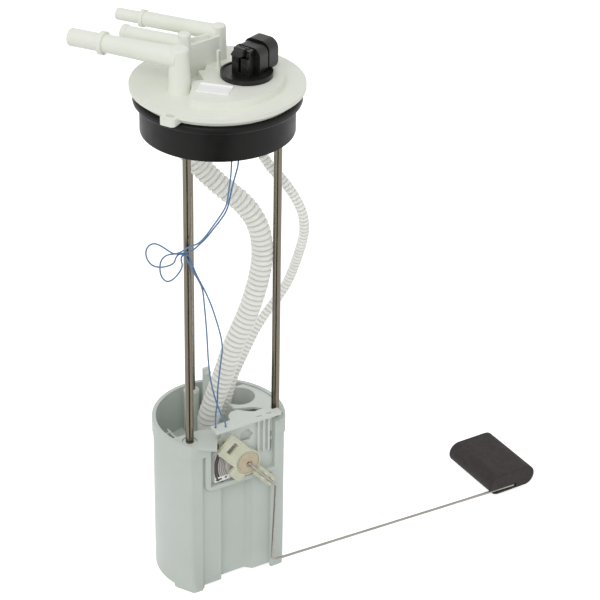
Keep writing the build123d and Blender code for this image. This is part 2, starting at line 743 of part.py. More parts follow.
armature_r = pump_r - pump_wall - magnet_t - air_gap
with BuildPart() as pump_armature:
    with BuildSketch(Plane.XY.offset(impeller_z - 4.5)):
        with Locations(pump_at):
            Circle(shaft_r)
    extrude(amount=inner_high + 4.5 - (impeller_z - 4.5))
    with BuildSketch(Plane.XY.offset(inner_low + 4)):
        with Locations(pump_at):
            Circle(armature_r)
            with PolarLocations(armature_r, 8):
                Rectangle(5, 1.6, mode=Mode.SUBTRACT)
    extrude(amount=inner_high - inner_low - 14)
    with BuildSketch(Plane.XY.offset(inner_high - 10)):
        with Locations(pump_at):
            Circle(6.5)
    extrude(amount=6)
pump_armature.part.label = "pump_armature"

with BuildPart() as pump_impeller:
    with BuildSketch(Plane.XY.offset(impeller_z + air_gap)):
        with Locations(pump_at):
            Circle(impeller_r)
            Circle(shaft_r, mode=Mode.SUBTRACT)
            with PolarLocations(impeller_r, 20):
                Rectangle(3, 1.4, mode=Mode.SUBTRACT)
    extrude(amount=impeller_h)
pump_impeller.part.label = "pump_impeller"

with BuildPart() as pump_isolator:
    with BuildSketch(Plane.XY.offset(deck_z - 10)):
        with Locations(pump_at):
            Circle(pump_r + 2.5)
            Circle(pump_r, mode=Mode.SUBTRACT)
    extrude(amount=8)
pump_isolator.part.label = "pump_isolator"

# Strainer under the pump's inlet
with BuildPart() as inlet_strainer:
    with BuildSketch(Plane.XY.offset(floor_z)):
        with Locations((pump_at[0] + 2, pump_at[1])):
            SlotOverall(46, 26)
    extrude(amount=pump_z - 8 - floor_z)
    fillet(inlet_strainer.edges().group_by(Axis.Z)[-1], 3)
inlet_strainer.part.label = "inlet_strainer"

# Jet pump: fills the reservoir from the return line
with BuildPart() as jet_pump:
    with BuildSketch(Plane.XY.offset(floor_z)):
        with Locations(pocket_at):
            Circle(8)
    extrude(amount=14)
    with BuildSketch(Plane.XY.offset(floor_z + 14)):
        with Locations(pocket_at):
            Circle(3.5)
    extrude(amount=deck_z - floor_z - 14)
jet_pump.part.label = "jet_pump"

# Sender bracket: a plate in the bay, stiffened by ribs, with the bar across its top
bracket_t = 2.0
with BuildPart() as sender_bracket:
    with BuildSketch(Plane.XZ.offset(bay_back)):
        with Locations((bay_x, (bay_z + bar_z) / 2)):
            Rectangle(bay_right - bay_left, bar_z - bay_z)
        with Locations((8.9, bar_z - 14.5)):
            RegularPolygon(6.5, 5, mode=Mode.SUBTRACT)
        with Locations((31.2, bar_z - 19.7)):
            SlotOverall(6, 2.6, rotation=90, mode=Mode.SUBTRACT)
        with Locations((31.0, bar_z - 30.5)):
            SlotOverall(11, 3, rotation=90, mode=Mode.SUBTRACT)
        with Locations((-13.4 - 10, rim_z - ledge_t - 0.3 + 10)):
            Rectangle(20, 20, mode=Mode.SUBTRACT)
    extrude(amount=bracket_t)
    with BuildSketch(Plane.XZ.offset(bay_back + bracket_t)):
        for x in (19.0, 24.0, 28.5):
            with Locations((x, (bay_z + bar_z) / 2 + 8)):
                Rectangle(1.6, bar_z - bay_z - 16)
    extrude(amount=2.6)
    with BuildSketch(Plane.XY.offset(bar_z)) as bar:
        with BuildLine():
            Polyline(
                (-22, -34.8), (38, -34.6), (38, -27.6), (33, -27.6), (33, -23.1), (19, -23.1), (15.5, -21.1),
                (8.8, -14.2), (2.4, -14.6), (-1.8, -18.5), (-3.5, -24.8), (-22, -24.8), close=True,
            )
        make_face()
        fillet(bar.vertices(), 1.0)
        with Locations(wire_a_points[-1][:2], wire_b_points[-1][:2]):
            Circle(wire_d / 2 + wire_clear, mode=Mode.SUBTRACT)
        with Locations((19, -31), (28, -31)):
            SlotOverall(5, 1.6, mode=Mode.SUBTRACT)
    extrude(amount=2.5)
sender_bracket.part.label = "sender_bracket"

# Sender housing: carries the resistor card and the arm's bearing
housing_face = bay_back + bracket_t
with BuildPart() as sender_housing:
    with BuildSketch(Plane.XZ.offset(housing_face)):
        with Locations((-4.5, bay_z + 0.6 + housing_h / 2)):
            RectangleRounded(36, housing_h, 3)
    extrude(amount=1.6)
    with BuildSketch(Plane.XZ.offset(housing_face + 1.6)):
        with Locations((pivot_x, pivot_z)):
            Circle(5)
    extrude(amount=res_flat + frame_t - housing_face - 1.6)
    with BuildSketch(Plane.XZ.offset(housing_face)):
        with Locations((pivot_x, pivot_z)):
            Circle(arm_r + pivot_fit)
    extrude(amount=20, mode=Mode.SUBTRACT)
sender_housing.part.label = "sender_housing"

card_face = housing_face + 1.6
with BuildPart() as resistor_card:
    with BuildSketch(Plane.XZ.offset(card_face)):
        with Locations((-11.0, bay_z + 0.6 + housing_h / 2)):
            Rectangle(22, housing_h - 2)
        with Locations((pivot_x, pivot_z)):
            Circle(9, mode=Mode.SUBTRACT)
    extrude(amount=0.8)
resistor_card.part.label = "resistor_card"

track_face = card_face + 0.8
with BuildPart() as resistor_tracks:
    with BuildSketch(Plane.XZ.offset(track_face)):
        for r in (21.5, 24.5, 27.0):
            with Locations((pivot_x, pivot_z)):
                Circle(r + 0.8)
                Circle(r - 0.8, mode=Mode.SUBTRACT)
        with Locations((-11.0, bay_z + 0.6 + housing_h / 2)):
            Rectangle(21, housing_h - 3, mode=Mode.INTERSECT)
    extrude(amount=0.2)
resistor_tracks.part.label = "resistor_tracks"

with BuildPart() as sender_terminals:
    with BuildSketch(Plane.XZ.offset(card_face)):
        with Locations((-18.9, bar_z - 14.9), (-11.6, bar_z - 14.9)):
            Rectangle(3.4, 5)
    extrude(amount=0.6)
sender_terminals.part.label = "sender_terminals"

# Rotor: the cream plate that turns with the arm over the card
rotor_face = res_flat + frame_t + rotor_gap
rotor_plane = Plane(
    origin=(pivot_x, -rotor_face, pivot_z),
    x_dir=(math.cos(math.radians(rotor_rest)), 0, math.sin(math.radians(rotor_rest))), z_dir=(0, -1, 0),
)
arm_y = rotor_face + rotor_t + button_t + arm_r + 0.1
with BuildPart() as float_rotor:
    with BuildSketch(rotor_plane) as plate:
        Circle(hub_r)
        with Locations((rotor_len / 2, 0)):
            Rectangle(rotor_len, 2 * rotor_half)
        with Locations((-tail_len / 2, 0)):
            Rectangle(tail_len, 2 * tail_half)
        with Locations((22.3, -1.0)):
            Rectangle(5.8, 10.2, mode=Mode.SUBTRACT)
        Circle(arm_r, mode=Mode.SUBTRACT)
        with Locations((0, hub_r + 1.0)):
            RectangleRounded(14, 9, 3)
    extrude(amount=rotor_t)
    with BuildSketch(rotor_plane.offset(rotor_t)):
        Circle(button_r + 1.5)
        Circle(button_r + 0.6, mode=Mode.SUBTRACT)
    extrude(amount=-0.8, mode=Mode.SUBTRACT)
    with BuildSketch(rotor_plane.offset(rotor_t)):
        with Locations(((rotor_len + hub_r) / 2, 0.6 - rotor_half)):
            Rectangle(rotor_len - hub_r, 1.2)
        with Locations(((rotor_len + hub_r) / 2, rotor_half - 0.6)):
            Rectangle(rotor_len - hub_r, 1.2)
        with Locations((rotor_len - 0.6, 0)):
            Rectangle(1.2, 2 * rotor_half)
        with Locations((17.0, 0)):
            Rectangle(1.2, 2 * rotor_half)
    extrude(amount=0.7)
    with BuildSketch(rotor_plane.offset(rotor_t)):
        with Locations((-(hub_r + tail_len) / 2, 0)):
            Rectangle(tail_len - hub_r, 2 * tail_half)
    extrude(amount=arm_y - arm_r - rotor_face - rotor_t)
    with BuildSketch(rotor_plane.offset(arm_y - arm_r - rotor_face)):
        with Locations((-20, arm_r + 1.1), (-20, -arm_r - 1.1), (-30, arm_r + 1.1), (-30, -arm_r - 1.1)):
            Rectangle(4, 2)
    extrude(amount=1.8 * arm_r)
float_rotor.part.label = "float_rotor"

with BuildPart() as pivot_button:
    with BuildSketch(rotor_plane.offset(rotor_t)):
        Circle(button_r)
        Circle(arm_r, mode=Mode.SUBTRACT)
    extrude(amount=button_t)
    with BuildSketch(rotor_plane.offset(rotor_t + button_t)):
        Circle(2.8)
    extrude(amount=-0.7, mode=Mode.SUBTRACT)
    chamfer(pivot_button.edges().filter_by(GeomType.CIRCLE).group_by(Axis.Y)[0].sort_by(SortBy.RADIUS)[-1], 0.5)
pivot_button.part.label = "pivot_button"

# Wiper contacts: two spring fingers from the rotor's back to the card's tracks
with BuildPart() as wiper_contacts:
    with BuildSketch(rotor_plane):
        with Locations((21.5, 5.2), (26.6, 5.2)):
            Rectangle(2.4, 2.0)
    extrude(amount=-(rotor_face - track_face - 0.2 - 0.3))
wiper_contacts.part.label = "wiper_contacts"

# Float arm: one bent wire from the sender's bearing to the float
float_face = -44.5 - 1.3
arm_tail = rotor_plane.from_local_coords(Vector(-37.3, 0, arm_y - rotor_face))
arm_line = [
    (pivot_x, -(bay_back + bracket_t + 0.3), pivot_z), (pivot_x, -arm_y, pivot_z), tuple(arm_tail),
    (27.7, -arm_y, float_z - 0.5), (float_x - 1, -44.5, float_z - arm_dip),
    (float_x + 3, -44.5, float_z - arm_dip - 0.1), (float_x + 3, -26.0, float_z - arm_dip - 0.1),
]
with BuildPart() as float_arm:
    with BuildLine() as arm_path:
        FilletPolyline(*arm_line[:5], *arm_line[5:], radius=[2.0, 5.0, 4.0, 1.5, 1.8][: len(arm_line) - 2])
    with BuildSketch(Plane(origin=arm_line[0], z_dir=(0, -1, 0))):
        Circle(arm_r)
    sweep(path=arm_path.line)
float_arm.part.label = "float_arm"

with BuildPart() as sender_float:
    with BuildSketch(Plane.XZ.offset(-float_face)):
        with Locations((float_x, float_z)):
            RectangleRounded(float_w, float_t, float_t / 2 - 0.01)
    extrude(amount=-float_len)
    fillet(sender_float.edges().group_by(Axis.Y)[0], 1.5)
    with BuildSketch(Plane.XZ.offset(-float_face)):
        with Locations((float_x + 3 - 30, float_z - arm_dip + 0.2)):
            Rectangle(60 + 2 * arm_r + 0.4, 2 * arm_r + 0.9)
    extrude(amount=-3.7, mode=Mode.SUBTRACT)
    with BuildSketch(Plane.XZ.offset(-float_face)):
        with Locations((float_x + 3, float_z - arm_dip - 0.1)):
            Circle(arm_r)
    extrude(amount=-(26.2 + 0), mode=Mode.SUBTRACT)
sender_float.part.label = "sender_float"

# Hoses and wires: plain tubes along their turning points
cords = {
    "supply_hose": (supply_points, supply_d), "return_hose": (return_points, return_d),
    "sender_wire_a": (wire_a_points, wire_d), "sender_wire_b": (wire_b_points, wire_d),
}
tubes = {}
for name, (points, diameter) in cords.items():
    radii = corner_radii(points)
    print(name, "radii", [round(r, 1) for r in radii])
    with BuildPart() as tube:
        with BuildLine() as route:
            FilletPolyline(*points, radius=radii)
        with BuildSketch(Plane(origin=points[0], z_dir=direction(points[0], points[1]))):
            Circle(diameter / 2)
        sweep(path=route.line)
    tube.part.label = name
    tubes[name] = tube
    length = sum(edge.length for edge in route.edges())
    print(name, "volume", round(tube.part.volume, 1), "section x length", round(math.pi * diameter**2 / 4 * length, 1))

single = [
    tank_seal, flange_cover, electrical_connector, connector_latch, connector_terminals, reservoir_body, base_valve,
    pump_retainer, pump_shell, pump_inlet_cap, pump_outlet_cap, pump_magnets, pump_armature, pump_impeller,
    pump_isolator, inlet_strainer, jet_pump, sender_bracket, sender_housing, resistor_card, resistor_tracks,
    sender_terminals, float_rotor, pivot_button, wiper_contacts, float_arm, sender_float,
]
for piece in single + [*guide_rods.values(), *bushings.values(), *springs.values(), *tubes.values()]:
    export_step(piece.part, f"parts/{piece.part.label}.step")
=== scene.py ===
import bpy
import math
import numpy as np
from mathutils import Matrix, Vector


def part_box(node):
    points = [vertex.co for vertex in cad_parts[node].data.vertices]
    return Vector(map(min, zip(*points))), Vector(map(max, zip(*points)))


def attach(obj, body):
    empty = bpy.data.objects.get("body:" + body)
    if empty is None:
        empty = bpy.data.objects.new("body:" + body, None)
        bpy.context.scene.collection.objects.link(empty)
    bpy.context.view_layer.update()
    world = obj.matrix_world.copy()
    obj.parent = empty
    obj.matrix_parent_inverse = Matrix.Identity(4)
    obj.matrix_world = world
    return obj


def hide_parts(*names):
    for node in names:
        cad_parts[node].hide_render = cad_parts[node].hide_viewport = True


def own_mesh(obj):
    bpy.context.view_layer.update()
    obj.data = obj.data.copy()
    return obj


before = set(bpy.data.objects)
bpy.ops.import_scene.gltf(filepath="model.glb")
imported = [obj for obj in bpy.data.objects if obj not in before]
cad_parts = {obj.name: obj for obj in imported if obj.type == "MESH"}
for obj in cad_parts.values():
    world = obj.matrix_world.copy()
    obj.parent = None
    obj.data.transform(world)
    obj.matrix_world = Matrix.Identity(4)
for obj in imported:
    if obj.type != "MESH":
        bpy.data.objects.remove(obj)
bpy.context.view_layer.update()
scene = bpy.context.scene


# Camera: places in metres, roll in degrees, lens and sensor in millimetres

camera = {
    "place": (-0.7579, -1.3323, 0.7138),
    "target": (0.0533, -0.0341, -0.1696),
    "roll": 1.0,
    "lens": 136.94,
    "sensor": 36,
    "clip": (0.05, 30),
}


def addCamera():
    data = bpy.data.cameras.new("studioCamera")
    data.lens = camera["lens"]
    data.sensor_width = camera["sensor"]
    data.clip_start, data.clip_end = camera["clip"]
    view = bpy.data.objects.new("studioCamera", data)
    scene.collection.objects.link(view)
    place, target = Vector(camera["place"]), Vector(camera["target"])
    turn = (target - place).to_track_quat("-Z", "Y").to_matrix()
    turn = turn @ Matrix.Rotation(math.radians(camera["roll"]), 3, "Z")
    view.matrix_world = Matrix.Translation(place) @ turn.to_4x4()
    scene.camera = view


addCamera()
print("camera set")


# Materials

def linear(hexColor):
    values = [int(hexColor[i:i + 2], 16) / 255 for i in (1, 3, 5)]
    return tuple(v / 12.92 if v <= 0.04045 else ((v + 0.055) / 1.055) ** 2.4 for v in values) + (1.0,)


def addNode(tree, kind, settings=None, **links):
    # a setting is a property, or a socket by name or number
    # a link is a socket, with _ for a space in its name, or i0, i1 by number
    node = tree.nodes.new(kind)
    for name, value in (settings or {}).items():
        if isinstance(name, str) and hasattr(node, name):
            setattr(node, name, value)
        else:
            node.inputs[name].default_value = value
    for name, source in links.items():
        key = int(name[1:]) if name[0] == "i" and name[1:].isdigit() else name.replace("_", " ")
        tree.links.new(source, node.inputs[key])
    return node


def emptyMaterial(name):
    material = bpy.data.materials.new(name)
    material.use_nodes = True
    material.node_tree.nodes.clear()
    return material, material.node_tree


def startMaterial(name, surface):
    material, tree = emptyMaterial(name)
    shader = addNode(tree, "ShaderNodeBsdfPrincipled", surface)
    addNode(tree, "ShaderNodeOutputMaterial", None, Surface=shader.outputs[0])
    return material, tree, shader


def patternPlace(tree, scale=(1, 1, 1)):
    coords = addNode(tree, "ShaderNodeTexCoord").outputs["Object"]
    return addNode(tree, "ShaderNodeMapping", {"Scale": scale}, Vector=coords).outputs[0]


def perMm(size):
    return 1000 / size    # pattern scale for one cell of this many millimetres


def colorMix(light, shade):
    # settings of a mix between two colours
    return {"data_type": "RGBA", 6: linear(light), 7: linear(shade)}


def remap(low, high, outLow=0.0, outHigh=1.0):
    # settings that stretch one range of a pattern to another
    return {"From Min": low, "From Max": high, "To Min": outLow, "To Max": outHigh}


# tint and shine: from where to where in the pattern the colour and the roughness change
# brighter and duller: how far the roughness swings; through: the share of light that passes the wall
# cell, cloud, thread and relief are in millimetres
mould = {
    "ior": 1.48, "tint": (0.35, 0.65), "shine": (0.3, 0.7), "brighter": 0.05, "duller": 0.07, "bump": 0.35,
}
metal = {"stretch": 0.03, "tint": (0.3, 0.7), "duller": 0.15, "bump": 0.2, "relief": 0.03}
foam = {
    "ior": 1.45, "cell": 0.9, "cloud": 6, "tint": (0.35, 0.7), "colors": ("#2C2726", "#373130"),
    "pit": 0.6, "roughness": (0.9, 0.72), "bump": 0.5, "relief": 0.2,
}
# the hose's third colour is painted shade for its grooves
tubeWall = {"light": "#FDFDFB", "shade": "#FAFAF7", "shadedGroove": "#D2D2CE", "roughness": 0.4, "through": 0.74}
weave = {
    "ior": 1.5, "roughness": 0.6, "thread": 0.8, "waver": 0.4, "colors": ("#B9B7A8", "#E0DED0"),
    "bump": 0.6, "relief": 0.2,
}


def mouldedPlastic(name, light, shade, roughness, cloud=18.0, grain=0.35, relief=0.02, surface=None):
    # moulded plastic: soft cloudy colour, faint flow, fine spark-eroded grain that breaks up the shine
    # cloud, grain and relief are in millimetres
    material, tree, shader = startMaterial(name, {"IOR": mould["ior"], **(surface or {})})
    place = patternPlace(tree)
    clouds = addNode(tree, "ShaderNodeTexNoise", {"Scale": perMm(cloud), "Detail": 3.0}, Vector=place)
    fine = addNode(tree, "ShaderNodeTexNoise", {"Scale": perMm(grain), "Detail": 2.0}, Vector=place)
    amount = addNode(tree, "ShaderNodeMapRange", remap(*mould["tint"]), Value=clouds.outputs[0])
    color = addNode(tree, "ShaderNodeMix", colorMix(light, shade), i0=amount.outputs[0])
    tree.links.new(color.outputs[2], shader.inputs["Base Color"])
    swing = (roughness - mould["brighter"], roughness + mould["duller"])
    shine = addNode(tree, "ShaderNodeMapRange", remap(*mould["shine"], *swing), Value=clouds.outputs[0])
    tree.links.new(shine.outputs[0], shader.inputs["Roughness"])
    depth = {"Strength": mould["bump"], "Distance": relief / 1000}
    bump = addNode(tree, "ShaderNodeBump", depth, Height=fine.outputs[0])
    tree.links.new(bump.outputs[0], shader.inputs["Normal"])
    return material


def drawnMetal(name, light, dark, roughness, along="Z", streak=0.5):
    # drawn or rolled metal: long fine streaks along the draw, slightly uneven shine
    # streak is in millimetres
    stretch = tuple(metal["stretch"] if axis == along else 1 for axis in "XYZ")
    material, tree, shader = startMaterial(name, {"Metallic": 1.0})
    place = patternPlace(tree, scale=stretch)
    lines = addNode(tree, "ShaderNodeTexNoise", {"Scale": perMm(streak), "Detail": 4.0}, Vector=place)
    amount = addNode(tree, "ShaderNodeMapRange", remap(*metal["tint"]), Value=lines.outputs[0])
    color = addNode(tree, "ShaderNodeMix", colorMix(light, dark), i0=amount.outputs[0])
    tree.links.new(color.outputs[2], shader.inputs["Base Color"])
    swing = (roughness, roughness + metal["duller"])
    shine = addNode(tree, "ShaderNodeMapRange", remap(*metal["tint"], *swing), Value=lines.outputs[0])
    tree.links.new(shine.outputs[0], shader.inputs["Roughness"])
    depth = {"Strength": metal["bump"], "Distance": metal["relief"] / 1000}
    bump = addNode(tree, "ShaderNodeBump", depth, Height=lines.outputs[0])
    tree.links.new(bump.outputs[0], shader.inputs["Normal"])
    return material


def closedCellFoam():
    # moulded nitrile foam: matt skin pitted by small cells
    material, tree, shader = startMaterial("moulded nitrile foam", {"IOR": foam["ior"]})
    place = patternPlace(tree)
    cells = addNode(tree, "ShaderNodeTexVoronoi", {"Scale": perMm(foam["cell"])}, Vector=place)
    clouds = addNode(
        tree, "ShaderNodeTexNoise", {"Scale": perMm(foam["cloud"]), "Detail": 5.0}, Vector=place,
    )
    amount = addNode(tree, "ShaderNodeMapRange", remap(*foam["tint"]), Value=clouds.outputs[0])
    color = addNode(tree, "ShaderNodeMix", colorMix(*foam["colors"]), i0=amount.outputs[0])
    tree.links.new(color.outputs[2], shader.inputs["Base Color"])
    dull = remap(0.0, foam["pit"], *foam["roughness"])
    shine = addNode(tree, "ShaderNodeMapRange", dull, Value=cells.outputs[0])
    tree.links.new(shine.outputs[0], shader.inputs["Roughness"])
    both = addNode(
        tree, "ShaderNodeMath", {"operation": "ADD"}, i0=cells.outputs[0], i1=clouds.outputs[0],
    )
    depth = {"Strength": foam["bump"], "Distance": foam["relief"] / 1000}
    bump = addNode(tree, "ShaderNodeBump", depth, Height=both.outputs[0])
    tree.links.new(bump.outputs[0], shader.inputs["Normal"])
    return material


def translucentTube():
    # thin-walled polyethylene: waxy white that lets light through its wall, with painted shade darkening its
    # colour in the grooves
    material = mouldedPlastic(
        "translucent polyethylene", tubeWall["light"], tubeWall["shade"], tubeWall["roughness"], cloud=12,
    )
    tree = material.node_tree
    shader = next(node for node in tree.nodes if node.type == "BSDF_PRINCIPLED")
    output = next(node for node in tree.nodes if node.type == "OUTPUT_MATERIAL")
    base = shader.inputs["Base Color"]
    # the groove mask blends the wall colour towards the painted shade in the grooves
    grooveShadeMask = addNode(tree, "ShaderNodeAttribute", {"attribute_name": "shadedGroove"})
    color = addNode(
        tree, "ShaderNodeMix", {"data_type": "RGBA", 7: linear(tubeWall["shadedGroove"])},
        i0=grooveShadeMask.outputs[2], i6=base.links[0].from_socket,
    )
    tree.links.new(color.outputs[2], base)
    through = addNode(tree, "ShaderNodeBsdfTranslucent", None, Color=color.outputs[2])
    wall = addNode(
        tree, "ShaderNodeMixShader", {"Fac": tubeWall["through"]},
        i1=shader.outputs[0], i2=through.outputs[0],
    )
    tree.links.new(wall.outputs[0], output.inputs["Surface"])
    return material


def wovenNylon():
    # woven nylon filter sock: square weave, drawn coarser than the real 0.1 mm so that it shows
    material, tree, shader = startMaterial(
        "woven nylon mesh", {"Roughness": weave["roughness"], "IOR": weave["ior"]},
    )
    place = patternPlace(tree)
    waves = []
    for axis in ("X", "Y"):
        # a wave's own scale counts about 20 to the unit
        wave = {"bands_direction": axis, "Scale": perMm(weave["thread"]) / 20, "Distortion": weave["waver"]}
        waves.append(addNode(tree, "ShaderNodeTexWave", wave, Vector=place).outputs[1])
    threads = addNode(tree, "ShaderNodeMath", {"operation": "MULTIPLY"}, i0=waves[0], i1=waves[1])
    color = addNode(tree, "ShaderNodeMix", colorMix(*weave["colors"]), i0=threads.outputs[0])
    tree.links.new(color.outputs[2], shader.inputs["Base Color"])
    depth = {"Strength": weave["bump"], "Distance": weave["relief"] / 1000}
    bump = addNode(tree, "ShaderNodeBump", depth, Height=threads.outputs[0])
    tree.links.new(bump.outputs[0], shader.inputs["Normal"])
    return material


finishes = {
    "cover": mouldedPlastic("moulded ivory acetal", "#EDEFE6", "#E9ECE1", 0.42, cloud=30),
    "seal": mouldedPlastic(
        "nitrile rubber", "#0B0B0A", "#100F0E", 0.42, cloud=9, grain=0.25,
        surface={"Specular IOR Level": 0.22},
    ),
    "connector": mouldedPlastic(
        "glass filled nylon", "#141413", "#1C1C1B", 0.34, cloud=7, grain=0.3,
        surface={"Specular IOR Level": 0.4},
    ),
    "reservoir": mouldedPlastic("moulded grey green acetal", "#CDD4CE", "#C9D1CA", 0.45, cloud=45),
    "retainer": mouldedPlastic("moulded pale acetal", "#DCE2DC", "#D8DED8", 0.45, cloud=30),
    "bushing": mouldedPlastic("turned acetal", "#DADDD7", "#D2D6CF", 0.4, cloud=5),
    "rotor": mouldedPlastic("moulded cream acetal", "#DBDCC6", "#D0D2BA", 0.42, cloud=8),
    "button": mouldedPlastic("moulded tan acetal", "#CDBFA4", "#C3B599", 0.45, cloud=4),
    "pumpPlastic": mouldedPlastic("dark phenolic", "#42423F", "#4E4E4A", 0.45, cloud=6),
    "rubber": mouldedPlastic("soft nitrile rubber", "#1E1E1D", "#292927", 0.65, cloud=6, relief=0.04),
    "magnet": mouldedPlastic("sintered ferrite", "#37373A", "#434346", 0.6, cloud=3, grain=0.2, relief=0.04),
    "card": mouldedPlastic("fired alumina ceramic", "#DAD4CF", "#D0CAC5", 0.55, cloud=3, grain=0.2),
    "track": mouldedPlastic("fired resistor ink", "#2B2825", "#35312D", 0.4, cloud=2, grain=0.15),
    "conductor": mouldedPlastic("fired silver ink", "#8E8E89", "#7E7E79", 0.35, cloud=2, grain=0.15),
    "label": mouldedPlastic("white label film", "#F8F8F8", "#F4F5F6", 0.35, cloud=40),
    "hose": translucentTube(),
    "wire": mouldedPlastic("blue wire sleeve", "#6288AE", "#577DA5", 0.38, cloud=10, grain=0.2),
    "rod": drawnMetal("drawn stainless tube", "#767064", "#6E685C", 0.14, streak=0.4),
    "spring": drawnMetal("drawn spring steel", "#807B70", "#5E5A50", 0.3),
    "arm": drawnMetal("bright drawn wire", "#A5A29B", "#8E8B84", 0.24, along="X"),
    "brass": drawnMetal("stamped brass", "#C9A65A", "#AD8B45", 0.28, along="Y", streak=0.3),
    "shell": drawnMetal("zinc plated steel", "#A3A5A2", "#8B8E8C", 0.33),
    "armature": drawnMetal("laminated steel", "#6C675E", "#55514A", 0.4, streak=0.5),
    "foam": closedCellFoam(),
    "mesh": wovenNylon(),
}

# a node, or the start of the names of several nodes
nodeFinish = {
    "flange_cover": "cover", "tank_seal": "seal", "electrical_connector": "connector",
    "connector_latch": "connector", "connector_terminals": "brass", "guide_rod": "rod",
    "guide_bushing": "bushing", "return_spring": "spring", "reservoir_body": "reservoir",
    "base_valve": "rubber", "pump_retainer": "retainer", "pump_shell": "shell",
    "pump_inlet_cap": "pumpPlastic", "pump_outlet_cap": "pumpPlastic", "pump_magnets": "magnet",
    "pump_armature": "armature", "pump_impeller": "pumpPlastic", "pump_isolator": "rubber",
    "inlet_strainer": "mesh", "jet_pump": "pumpPlastic", "sender_bracket": "retainer",
    "sender_housing": "retainer", "resistor_card": "card", "resistor_tracks": "track",
    "sender_terminals": "brass", "float_rotor": "rotor", "pivot_button": "button",
    "wiper_contacts": "brass", "float_arm": "arm", "sender_float": "foam", "supply_hose": "hose",
    "return_hose": "hose", "sender_wire": "wire",
}


def paint(obj, finish):
    obj.data.materials.clear()
    obj.data.materials.append(finishes[finish])


def finishOf(node):
    return next(finish for name, finish in nodeFinish.items() if node == name or node.startswith(name + "_"))


for nodeName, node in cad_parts.items():
    paint(node, finishOf(nodeName))
print("materials made:", len(finishes))


# Hoses and wires, in millimetres except their lengths, in metres
# the points are the control points of each centre line: its ends are those of the solid tube, and
# between them it runs freer than the tube
# known fault: near (-61.5, -20.8, -114.9) the two wires' centre lines are only 0.26 apart

